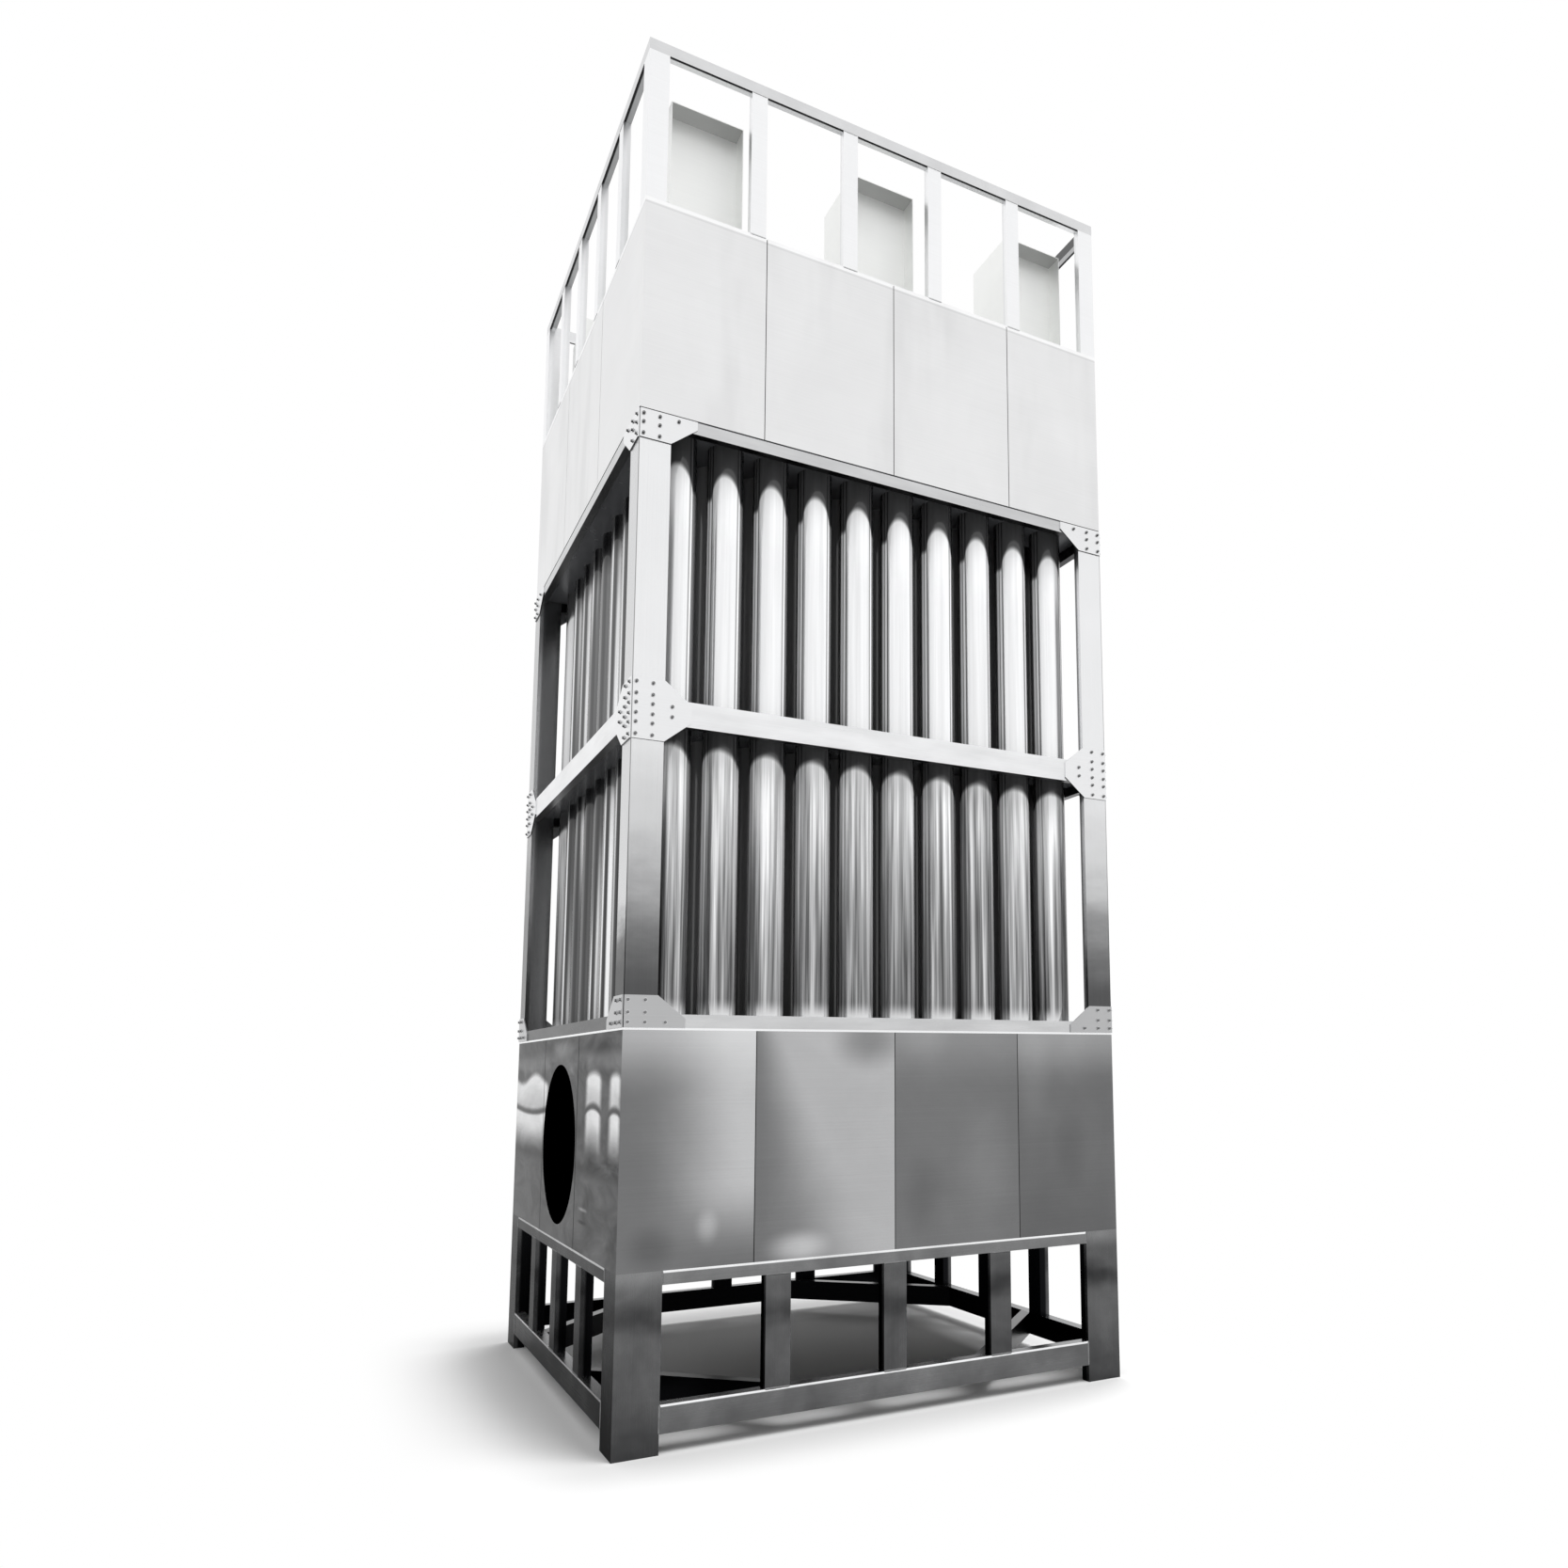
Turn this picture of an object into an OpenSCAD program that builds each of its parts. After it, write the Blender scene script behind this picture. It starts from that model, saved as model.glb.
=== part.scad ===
/* [Tube bundle] */
// Distance between neighbouring tube axes, both ways
tube_pitch = 240; // [215:1:280]
// Outside diameter of a tube
tube_d = 178; // [140:1:200]
// Wall thickness of a tube
tube_wall = 2; // [1:0.5:4]
// Number of tubes in one row, from side to side
tube_columns = 10; // [8:1:12]
// Length of tube that stands out past each tube sheet
tube_end = 5; // [2:1:20]
// Clearance round a tube in the plates that it passes
tube_clearance = 0.3; // [0.2:0.1:0.8]
// From a side face of the unit to the nearest tube axis
side_margin = 245; // [200:1:400]
// From the front face of the unit to the nearest row of tubes
front_margin = 205; // [190:1:400]
// Thickness of the tube sheets and of the guide plate
plate_t = 8; // [5:1:15]
// Distance of the upper tube sheet's edge from the faces of the unit
sheet_inset = 4; // [1:1:15]

/* [Heights] */
// Height of the base frame
base_h = 760; // [500:5:1200]
// Height of the lower casing with its top flange
lower_casing_h = 1045; // [950:5:1600]
// Height of one tube module
module_h = 1440; // [800:5:2400]
// Height of the upper casing with the upper tube sheet and the roof plate
upper_casing_h = 1085; // [500:5:1600]
// Height of the open frame on the roof
top_frame_h = 845; // [760:5:1400]

/* [Base frame] */
// Width of each leg of a base corner post
base_post_w = 200; // [120:1:300]
// Depth of the base posts and rails
base_depth = 60; // [45:1:100]
// Wall thickness of the base posts and rails
base_wall = 5; // [3:0.5:8]
// Height of the ground clearance under the bottom rails
base_rail_z = 85; // [20:1:200]
// Height of the bottom rails and of the corner braces
base_rail_h = 120; // [60:1:200]
// Height of the top rails
base_top_rail_h = 60; // [40:1:150]
// Width of a base mid post
base_mid_w = 120; // [60:1:200]
// Number of mid posts on each side of the base
base_mid_count = 3; // [1:1:4]
// From a corner of the base to the outer face of its brace, along a side
brace_cut = 770; // [500:5:900]
// Thickness of the plates that close the feet
foot_t = 10; // [5:1:20]

/* [Casings] */
// Thickness of the casing sheet
sheet_t = 3; // [2:0.5:6]
// Depth of the turned edges of a panel
panel_flange = 40; // [20:1:50]
// Width of the seam between two panels
seam = 4; // [1:0.5:8]
// Width of the outer panels on the front and back
outer_panel_w = 613; // [400:1:800]
// Number of panels between the two outer ones on the front and back
inner_panels = 2; // [1:1:4]
// Number of panels on each of the other two sides
side_panels = 3; // [3:2:3]
// Radius of the gas inlet
inlet_r = 410; // [200:1:415]
// Height of the inlet axis above the bottom of the casing
inlet_h = 485; // [430:1:520]
// Thickness of the casing floor
floor_t = 4; // [3:1:10]
// Width of the flange on the lower casing
flange_w = 80; // [60:1:100]
// Thickness of the flange on the lower casing
flange_t = 10; // [6:1:20]
// Thickness of the roof plate
roof_t = 6; // [4:1:12]

/* [Tube modules] */
// Width of each leg of a module column
column_w = 150; // [100:1:180]
// Depth of the columns, of the beams and of the posts on the roof
frame_depth = 40; // [30:1:50]
// Wall thickness of these sections
frame_wall = 4; // [2:0.5:6]
// Height of a module beam
beam_h = 60; // [40:1:90]

/* [Gussets] */
// Thickness of a gusset plate
gusset_t = 6; // [4:1:12]
// Height of a gusset along the column
gusset_h = 143; // [100:1:250]
// Width of a gusset along the beam
gusset_w = 275; // [200:1:400]
// Height of a gusset at its end on the beam
gusset_end_h = 42; // [20:1:58]
// Distance of a gusset from the corner edge
gusset_gap = 2; // [1:1:10]

/* [Top frame] */
// Width of each leg of a corner post on the roof
top_post_w = 100; // [60:1:150]
// Width of a mid post on the roof
top_mid_w = 83; // [40:1:120]
// Number of mid posts on each side of the roof
top_mid_count = 4; // [1:1:6]
// Height of the beams round the top
top_beam_h = 60; // [40:1:100]

/* [Insulator boxes] */
// Width of an insulator box
box_w = 376; // [250:1:500]
// Depth of an insulator box, from front to back
box_d = 370; // [250:1:500]
// Height of an insulator box
box_h = 670; // [400:1:690]
// Sheet thickness of an insulator box
box_wall = 4; // [2:0.5:6]
// Depth of the open recess in the face of an insulator box
box_recess = 100; // [40:1:150]
// From the face of the unit to the face of an insulator box
box_setback = 132; // [60:1:300]
// Distance between the middles of neighbouring insulator boxes
box_spacing = 988; // [700:1:1060]

/* [Hidden] */

// Each row of tubes is a sub-part of its own, so their number is fixed
tube_rows = 10;
// Width and depth of the unit over its frames
frame_w = 2 * side_margin + (tube_columns - 1) * tube_pitch;
frame_d = 2 * front_margin + (tube_rows - 1) * tube_pitch;
// Levels of the storeys above the ground
z_lower_module = base_h + lower_casing_h;
z_upper_module = z_lower_module + module_h;
z_upper_sheet = z_upper_module + module_h;
z_upper_casing = z_upper_sheet + plate_t;
z_roof = z_upper_sheet + upper_casing_h;
// Height of a casing wall without what lies on it and under it
lower_wall_h = lower_casing_h - flange_t;
upper_wall_h = upper_casing_h - plate_t - roof_t;
// Ends of the tubes
z_tube_bottom = z_lower_module - tube_end;
z_tube_top = z_upper_casing + tube_end;
// How far a cutting shape runs past the face that it cuts
past = 1;
facets = 96;

dark_steel = [0.36, 0.36, 0.37];
mid_steel = [0.58, 0.58, 0.59];
plate_steel = [0.22, 0.22, 0.24];
pale_steel = [0.88, 0.88, 0.89];

// Sides are numbered round the unit: 0 front, 1 right, 2 back, 3 left.
// Length of a side, and distance of its face from the middle of the unit
function side_length(side) = side % 2 == 0 ? frame_w : frame_d;
function side_reach(side) = (side % 2 == 0 ? frame_d : frame_w) / 2;

// Puts a shape on a side: x runs along the face, y inward from it
module on_side(side) {
    rotate(90 * side)
        translate([0, -side_reach(side), 0])
            children();
}

// Puts a shape at every corner, with its legs along +x and +y
module at_each_corner() {
    for (side = [0:3])
        on_side(side)
            translate([-side_length(side) / 2, 0, 0])
                children();
}

module angle_outline(leg, depth, inset) {
    polygon([[inset, inset], [leg - inset, inset], [leg - inset, depth - inset],
        [depth - inset, depth - inset], [depth - inset, leg - inset], [inset, leg - inset]]);
}

// Hollow post with an L-shaped section, its outer corner on the z axis
module angle_post(leg, depth, wall, h) {
    linear_extrude(h)
        difference() {
            angle_outline(leg, depth, 0);
            angle_outline(leg, depth, wall);
        }
}

// Hollow rail along x, centred, with its outer face at y = 0
module rail(length, depth, h, wall) {
    difference() {
        translate([-length / 2, 0, 0])
            cube([length, depth, h]);
        translate([-length / 2 - past, wall, wall])
            cube([length + 2 * past, depth - 2 * wall, h - 2 * wall]);
    }
}

// Hollow upright post, centred on x, with its outer face at y = 0
module post(w, depth, h, wall) {
    difference() {
        translate([-w / 2, 0, 0])
            cube([w, depth, h]);
        translate([-w / 2 + wall, wall, -past])
            cube([w - 2 * wall, depth - 2 * wall, h + 2 * past]);
    }
}

// Rails on all four sides, between posts of the given width
module rails_round(post_w, depth, h, wall) {
    for (side = [0:3])
        on_side(side)
            rail(side_length(side) - 2 * post_w, depth, h, wall);
}

// Posts on all four sides, with equal clear bays between the corner posts
module posts_round(count, corner_w, w, depth, h, wall) {
    for (side = [0:3]) {
        bay = (side_length(side) - 2 * corner_w - count * w) / (count + 1);
        for (i = [1:count])
            on_side(side)
                translate([-side_length(side) / 2 + corner_w + i * (bay + w) - w / 2, 0, 0])
                    post(w, depth, h, wall);
    }
}

module base_feet() {
    color(dark_steel)
        at_each_corner()
            linear_extrude(foot_t)
                angle_outline(base_post_w, base_depth, 0);
}

module base_corner_posts() {
    color(dark_steel)
        translate([0, 0, foot_t])
            at_each_corner()
                angle_post(base_post_w, base_depth, base_wall, base_h - foot_t);
}

module base_bottom_rails() {
    color(dark_steel)
        translate([0, 0, base_rail_z])
            rails_round(base_post_w, base_depth, base_rail_h, base_wall);
}

module base_top_rails() {
    color(dark_steel)
        translate([0, 0, base_h - base_top_rail_h])
            rails_round(base_post_w, base_depth, base_top_rail_h, base_wall);
}

module base_mid_posts() {
    post_z = base_rail_z + base_rail_h;
    color(dark_steel)
        translate([0, 0, post_z])
            posts_round(base_mid_count, base_post_w, base_mid_w, base_depth,
                base_h - base_top_rail_h - post_z, base_wall);
}

// Plan of a brace across a corner, its ends on the inner faces of the rails
module brace_outline(inset) {
    diagonal = sqrt(2);
    outer = brace_cut - base_depth + inset * diagonal;
    inner = brace_cut - base_depth + (base_depth - inset) * diagonal;
    translate([base_depth, base_depth])
        polygon([[0, outer], [outer, 0], [inner, 0], [0, inner]]);
}

module base_corner_braces() {
    color(dark_steel)
        translate([0, 0, base_rail_z])
            at_each_corner()
                difference() {
                    linear_extrude(base_rail_h)
                        brace_outline(0);
                    translate([0, 0, base_wall])
                        linear_extrude(base_rail_h - 2 * base_wall)
                            brace_outline(base_wall);
                }
}

module casing_floor() {
    color(plate_steel)
        translate([-frame_w / 2 + panel_flange, -frame_d / 2 + panel_flange, base_h])
            cube([frame_w - 2 * panel_flange, frame_d - 2 * panel_flange, floor_t]);
}

// Panel of folded sheet with its face at y = 0. Its turned edges keep from
// each end by start and finish, and an end that is open has no upright edge.
module panel(w, h, start, start_open, finish, finish_open) {
    cube([w, sheet_t, h]);
    for (z = [0, h - sheet_t])
        translate([start, 0, z])
            cube([w - start - finish, panel_flange, sheet_t]);
    if (!start_open)
        translate([start, 0, 0])
            cube([sheet_t, panel_flange, h]);
    if (!finish_open)
        translate([w - finish - sheet_t, 0, 0])
            cube([sheet_t, panel_flange, h]);
}

// Front or back wall of a casing. Its end panels turn in behind the side walls.
module long_wall(side, h) {
    inner_w = (frame_w - 2 * outer_panel_w) / inner_panels;
    count = inner_panels + 2;
    edges = [-frame_w / 2,
        for (i = [0:inner_panels]) -frame_w / 2 + outer_panel_w + i * inner_w,
        frame_w / 2];
    on_side(side)
        for (i = [0:count - 1]) {
            from = edges[i] + (i == 0 ? 0 : seam / 2);
            to = edges[i + 1] - (i == count - 1 ? 0 : seam / 2);
            translate([from, 0, 0])
                panel(to - from, h, i == 0 ? sheet_t : 0, false,
                    i == count - 1 ? sheet_t : 0, false);
        }
}

// Left or right wall of a casing, lapped over the turned ends of the long walls
module short_wall(side, h) {
    panel_w = (frame_d - 2 * sheet_t) / side_panels;
    corner = panel_flange - sheet_t;
    on_side(side)
        for (i = [0:side_panels - 1]) {
            first = i == 0;
            last = i == side_panels - 1;
            from = -frame_d / 2 + sheet_t + i * panel_w + (first ? 0 : seam / 2);
            to = -frame_d / 2 + sheet_t + (i + 1) * panel_w - (last ? 0 : seam / 2);
            translate([from, 0, 0])
                panel(to - from, h, first ? corner : 0, first, last ? corner : 0, last);
        }
}

module lower_long_wall(side) {
    color(mid_steel)
        translate([0, 0, base_h])
            long_wall(side, lower_wall_h);
}

module lower_short_wall(side) {
    color(mid_steel)
        translate([0, 0, base_h])
            short_wall(side, lower_wall_h);
}

module lower_casing_front() {
    lower_long_wall(0);
}

module lower_casing_right() {
    lower_short_wall(1);
}

module lower_casing_back() {
    lower_long_wall(2);
}

// The left wall has the round gas inlet in its middle panel
module lower_casing_left() {
    color(mid_steel)
        difference() {
            lower_short_wall(3);
            translate([-frame_w / 2 - past, 0, base_h + inlet_h])
                rotate([0, 90, 0])
                    cylinder(r = inlet_r, h = sheet_t + 2 * past, $fn = facets);
        }
}

module lower_casing_flange() {
    color(pale_steel)
        translate([0, 0, z_lower_module - flange_t])
            linear_extrude(flange_t)
                difference() {
                    square([frame_w, frame_d], center = true);
                    square([frame_w - 2 * flange_w, frame_d - 2 * flange_w], center = true);
                }
}

module module_columns(z) {
    color(mid_steel)
        translate([0, 0, z])
            at_each_corner()
                angle_post(column_w, frame_depth, frame_wall, module_h);
}

module module_beams(z) {
    color(mid_steel)
        translate([0, 0, z])
            rails_round(column_w, frame_depth, beam_h, frame_wall);
}

module lower_module_bottom_beams() {
    module_beams(z_lower_module);
}

module lower_module_columns() {
    module_columns(z_lower_module);
}

module lower_module_top_beams() {
    module_beams(z_upper_module - beam_h);
}

module upper_module_bottom_beams() {
    module_beams(z_upper_module);
}

module upper_module_columns() {
    module_columns(z_upper_module);
}

module upper_module_top_beams() {
    module_beams(z_upper_sheet - beam_h);
}

// Places of the tube axes in the plan
function tube_x(column) = -frame_w / 2 + side_margin + (column - 1) * tube_pitch;
function tube_y(row) = -frame_d / 2 + front_margin + (row - 1) * tube_pitch;

// Plate with a hole for every tube, its edges kept in from the faces of the unit
module drilled_plate(z, inset) {
    hole_d = tube_d + 2 * tube_clearance;
    color(plate_steel)
        translate([0, 0, z])
            linear_extrude(plate_t)
                difference() {
                    square([frame_w - 2 * inset, frame_d - 2 * inset], center = true);
                    for (row = [1:tube_rows], column = [1:tube_columns])
                        translate([tube_x(column), tube_y(row)])
                            circle(d = hole_d, $fn = facets);
                }
}

// The lower tube sheet rests on the flange of the lower casing, between the beams
module lower_tube_sheet() {
    drilled_plate(z_lower_module, frame_depth);
}

module middle_guide_plate() {
    drilled_plate(z_upper_module - plate_t, frame_depth);
}

// The upper tube sheet is clamped between the upper module and the upper casing
module upper_tube_sheet() {
    drilled_plate(z_upper_sheet, sheet_inset);
}

// The tubes run from under the lower tube sheet to over the upper one
module tube_row(row) {
    color(pale_steel)
        for (column = [1:tube_columns])
            translate([tube_x(column), tube_y(row), z_tube_bottom])
                difference() {
                    cylinder(d = tube_d, h = z_tube_top - z_tube_bottom, $fn = facets);
                    translate([0, 0, -past])
                        cylinder(d = tube_d - 2 * tube_wall,
                            h = z_tube_top - z_tube_bottom + 2 * past, $fn = facets);
                }
}

// Half of a gusset, from the joint of two storeys up
module gusset_half() {
    polygon([[gusset_gap, 0], [gusset_gap, gusset_h], [column_w, gusset_h],
        [gusset_w, gusset_end_h], [gusset_w, 0]]);
}

// Gusset plate on the outside of a corner, above the joint, below it or both
module gusset(above, below) {
    rotate([90, 0, 0])
        linear_extrude(gusset_t) {
            if (above)
                gusset_half();
            if (below)
                mirror([0, 1])
                    gusset_half();
        }
}

// Both faces of every corner carry the same plate
module gussets(z, above, below) {
    color(pale_steel)
        translate([0, 0, z])
            at_each_corner() {
                gusset(above, below);
                mirror([1, -1, 0])
                    gusset(above, below);
            }
}

module gussets_lower() {
    gussets(z_lower_module, true, false);
}

module gussets_middle() {
    gussets(z_upper_module, true, true);
}

module gussets_upper() {
    gussets(z_upper_sheet, false, true);
}

module upper_long_wall(side) {
    color(pale_steel)
        translate([0, 0, z_upper_casing])
            long_wall(side, upper_wall_h);
}

module upper_short_wall(side) {
    color(pale_steel)
        translate([0, 0, z_upper_casing])
            short_wall(side, upper_wall_h);
}

module upper_casing_front() {
    upper_long_wall(0);
}

module upper_casing_right() {
    upper_short_wall(1);
}

module upper_casing_back() {
    upper_long_wall(2);
}

module upper_casing_left() {
    upper_short_wall(3);
}

module roof_plate() {
    color(pale_steel)
        translate([-frame_w / 2, -frame_d / 2, z_roof - roof_t])
            cube([frame_w, frame_d, roof_t]);
}

module top_corner_posts() {
    color(pale_steel)
        translate([0, 0, z_roof])
            at_each_corner()
                angle_post(top_post_w, frame_depth, frame_wall, top_frame_h - top_beam_h);
}

module top_mid_posts() {
    color(pale_steel)
        translate([0, 0, z_roof])
            posts_round(top_mid_count, top_post_w, top_mid_w, frame_depth,
                top_frame_h - top_beam_h, frame_wall);
}

// Ring of box section over the posts, mitred at the corners
module top_beams() {
    color(pale_steel)
        translate([0, 0, z_roof + top_frame_h - top_beam_h])
            difference() {
                beam_ring(0, top_beam_h);
                translate([0, 0, frame_wall])
                    beam_ring(frame_wall, top_beam_h - 2 * frame_wall);
            }
}

module beam_ring(inset, h) {
    linear_extrude(h)
        difference() {
            square([frame_w - 2 * inset, frame_d - 2 * inset], center = true);
            square([frame_w - 2 * (frame_depth - inset), frame_d - 2 * (frame_depth - inset)],
                center = true);
        }
}

// Sheet hood on the roof, open below, with an open recess in its face
module insulator_box() {
    inside_w = box_w - 2 * box_wall;
    inside_h = box_h - box_wall + past;
    translate([-box_w / 2, 0, 0])
        difference() {
            cube([box_w, box_d, box_h]);
            translate([box_wall, -past, -past])
                cube([inside_w, box_recess + past, inside_h]);
            translate([box_wall, box_recess + box_wall, -past])
                cube([inside_w, box_d - box_recess - 2 * box_wall, inside_h]);
        }
}

// Three boxes in a row along the front or the back
module insulator_boxes(side) {
    color(pale_steel)
        translate([0, 0, z_roof])
            on_side(side)
                for (i = [-1:1])
                    translate([i * box_spacing, box_setback, 0])
                        insulator_box();
}

module insulator_boxes_front() {
    insulator_boxes(0);
}

module insulator_boxes_back() {
    insulator_boxes(2);
}

base_feet();
base_corner_posts();
base_bottom_rails();
base_top_rails();
base_mid_posts();
base_corner_braces();
casing_floor();
lower_casing_front();
lower_casing_back();
lower_casing_left();
lower_casing_right();
lower_casing_flange();
lower_module_bottom_beams();
lower_module_columns();
lower_module_top_beams();
upper_module_bottom_beams();
upper_module_columns();
upper_module_top_beams();
lower_tube_sheet();
middle_guide_plate();
upper_tube_sheet();
tube_row(1);  // tube_row_1
tube_row(2);  // tube_row_2
tube_row(3);  // tube_row_3
tube_row(4);  // tube_row_4
tube_row(5);  // tube_row_5
tube_row(6);  // tube_row_6
tube_row(7);  // tube_row_7
tube_row(8);  // tube_row_8
tube_row(9);  // tube_row_9
tube_row(10);  // tube_row_10
gussets_lower();
gussets_middle();
gussets_upper();
upper_casing_front();
upper_casing_back();
upper_casing_left();
upper_casing_right();
roof_plate();
top_corner_posts();
top_mid_posts();
top_beams();
insulator_boxes_front();
insulator_boxes_back();
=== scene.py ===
import logging
import math
import random
from collections.abc import Callable
from dataclasses import dataclass, field
from enum import Enum

import bmesh
import bpy
from mathutils import Matrix, Vector


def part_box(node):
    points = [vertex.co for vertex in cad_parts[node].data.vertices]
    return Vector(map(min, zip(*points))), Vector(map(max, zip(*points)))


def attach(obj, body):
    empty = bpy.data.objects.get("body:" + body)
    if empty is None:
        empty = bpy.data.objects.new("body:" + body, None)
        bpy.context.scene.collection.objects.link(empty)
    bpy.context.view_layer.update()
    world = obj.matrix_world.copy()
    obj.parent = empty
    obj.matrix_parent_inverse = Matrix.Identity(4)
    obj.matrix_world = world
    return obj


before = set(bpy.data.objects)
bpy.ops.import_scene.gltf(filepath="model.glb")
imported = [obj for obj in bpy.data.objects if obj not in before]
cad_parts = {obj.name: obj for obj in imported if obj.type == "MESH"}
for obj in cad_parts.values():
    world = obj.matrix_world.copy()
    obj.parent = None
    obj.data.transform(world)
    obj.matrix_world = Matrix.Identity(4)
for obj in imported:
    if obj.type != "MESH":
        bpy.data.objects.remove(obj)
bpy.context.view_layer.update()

LOG = logging.getLogger("treatment_unit")
BODY = "root"
HALF_W, HALF_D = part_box("upper_module_columns")[1][:2]
WHITE = (1.0, 1.0, 1.0, 1.0)
BLACK = (0.0, 0.0, 0.0, 1.0)
SIDES = ("front", "back", "left", "right")
# Share of a face's normal over which it turns from front to side, and from upright to level
ASIDE = (0.5, 0.9)
LEVEL_FACE = (0.4, 0.8)


class Grain(Enum):
    """Which way the brush lines of a steel face run."""

    LEVEL = (1.2, 1.2, 420.0)
    UPRIGHT = (420.0, 420.0, 1.2)


class Level(Enum):
    """Joints between the storeys, by the node of their gusset plates."""

    LOWER = "gussets_lower"
    MIDDLE = "gussets_middle"
    UPPER = "gussets_upper"


def _pair(operation: str) -> tuple[Callable, Callable]:
    """Make an operator and its reflected form, which each add one Math node.

    Args:
        operation: the Math node's operation.

    Returns:
        The two methods.
    """

    def straight(self: "Value", other: "Number") -> "Value":
        """Put the value first."""
        return self.nodes.math(operation, self, other)

    def reflected(self: "Value", other: "Number") -> "Value":
        """Put the value second."""
        return self.nodes.math(operation, other, self)

    return straight, reflected


class Value:
    """A node socket that can be used in Python expressions."""

    __add__, __radd__ = _pair("ADD")
    __sub__, __rsub__ = _pair("SUBTRACT")
    __mul__, __rmul__ = _pair("MULTIPLY")
    __truediv__, __rtruediv__ = _pair("DIVIDE")
    __pow__, __rpow__ = _pair("POWER")
    __gt__ = _pair("GREATER_THAN")[0]
    __lt__ = _pair("LESS_THAN")[0]

    def __init__(self, nodes: "Nodes", socket: bpy.types.NodeSocket) -> None:
        """Keep the socket and the node tree that it belongs to.

        Args:
            nodes: the tree that the expressions add to.
            socket: the output socket that carries the value.
        """
        self.nodes = nodes
        self.socket = socket

    def __neg__(self) -> "Value":
        """Opposite."""
        return self * -1.0

    def __abs__(self) -> "Value":
        """Size without sign."""
        return self.nodes.math("ABSOLUTE", self)


Number = Value | float
Span = tuple[float, float]
Three = tuple[float, float, float]
Four = tuple[float, float, float, float]


class Nodes:
    """A node tree that Python expressions add to."""

    def __init__(self, tree: bpy.types.NodeTree) -> None:
        """Start with an empty tree.

        Args:
            tree: the tree to fill.
        """
        self.tree = tree
        tree.nodes.clear()

    def node(self, kind: str, sockets: dict | None = None, output: int | str | None = 0,
             **settings: object) -> Value | None:
        """Add any node.

        Args:
            kind: the node's type.
            sockets: values or links of its inputs, by name or index.
            output: the output to return, or None for a node that ends a tree.
            settings: the node's own settings, set before its sockets.

        Returns:
            The chosen output.
        """
        made = self.tree.nodes.new(kind)
        for key, setting in settings.items():
            if key == "stops":
                self._set_stops(made.color_ramp, setting)
            else:
                setattr(made, key, setting)
        for key, value in (sockets or {}).items():
            self._feed(made.inputs[key], value)
        return None if output is None else Value(self, made.outputs[output])

    @staticmethod
    def _set_stops(ramp: bpy.types.ColorRamp, stops: tuple[Span, ...]) -> None:
        """Give a ramp its grey stops.

        Args:
            ramp: the ramp to set.
            stops: pairs of position and grey.
        """
        while len(ramp.elements) < len(stops):
            ramp.elements.new(1.0)
        for element, (position, grey) in zip(ramp.elements, stops):
            element.position = position
            element.color = (grey, grey, grey, 1.0)

    def _feed(self, socket: bpy.types.NodeSocket, value: object) -> None:
        """Link a value to a socket, or set a number or colour on it.

        Args:
            socket: the input socket.
            value: a Value, a number, or a tuple.
        """
        if isinstance(value, Value):
            self.tree.links.new(value.socket, socket)
        else:
            socket.default_value = value

    def math(self, operation: str, *values: Number) -> Value:
        """Add one Math node with its inputs in order."""
        return self.node("ShaderNodeMath", dict(enumerate(values)), operation=operation)

    def least(self, first: Number, second: Number) -> Value:
        """Return the smaller of two values."""
        return self.math("MINIMUM", first, second)

    def most(self, first: Number, second: Number) -> Value:
        """Return the larger of two values."""
        return self.math("MAXIMUM", first, second)

    def clamp(self, value: Number) -> Value:
        """Hold a value between 0 and 1."""
        return self.most(self.least(value, 1.0), 0.0)

    def rise(self, value: Number, low: Number, high: Number, start: Number = 0.0,
             end: Number = 1.0) -> Value:
        """Go smoothly from start to end while a value goes from low to high.

        Args:
            value: the value that drives the change.
            low: where the change starts.
            high: where it ends.
            start: the result at low.
            end: the result at high.

        Returns:
            The eased result.
        """
        sockets = {"Value": value, "From Min": low, "From Max": high,
                   "To Min": start, "To Max": end}
        return self.node("ShaderNodeMapRange", sockets, interpolation_type="SMOOTHSTEP")

    def ramp(self, value: Value, stops: tuple[Span, ...]) -> Value:
        """Read a grey from a row of stops."""
        return self.node("ShaderNodeValToRGB", {0: value}, stops=stops)

    def blend(self, factor: Number, first: Number, second: Number) -> Value:
        """Mix two numbers: 0 gives the first, 1 gives the second."""
        return self.node("ShaderNodeMix", {0: factor, 2: first, 3: second})

    def colour(self, factor: Number, first: object, second: object) -> Value:
        """Mix two colours: 0 gives the first, 1 gives the second."""
        return self.node("ShaderNodeMix", {0: factor, 6: first, 7: second}, output=2,
                         data_type="RGBA")

    def stretch(self, point: Value, by: Three) -> Value:
        """Scale a point along each axis."""
        return self.node("ShaderNodeVectorMath", {0: point, 1: by}, operation="MULTIPLY")

    def noise(self, point: Value, scale: float, detail: float = 3.0, rough: float = 0.5,
              warp: float = 0.0) -> Value:
        """Cloudy noise between about 0.2 and 0.8.

        Args:
            point: where it is read.
            scale: clouds a metre.
            detail: octaves.
            rough: share of the finer octaves.
            warp: how far the clouds are twisted.

        Returns:
            The noise.
        """
        sockets = {"Vector": point, "Scale": scale, "Detail": detail, "Roughness": rough,
                   "Distortion": warp}
        return self.node("ShaderNodeTexNoise", sockets, output="Fac")

    def bump(self, height: Value, depth: float) -> Value:
        """Turn a height from 0 to 1 into a normal, with a depth in metres."""
        return self.node("ShaderNodeBump", {"Strength": 1.0, "Distance": depth, "Height": height})

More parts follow.
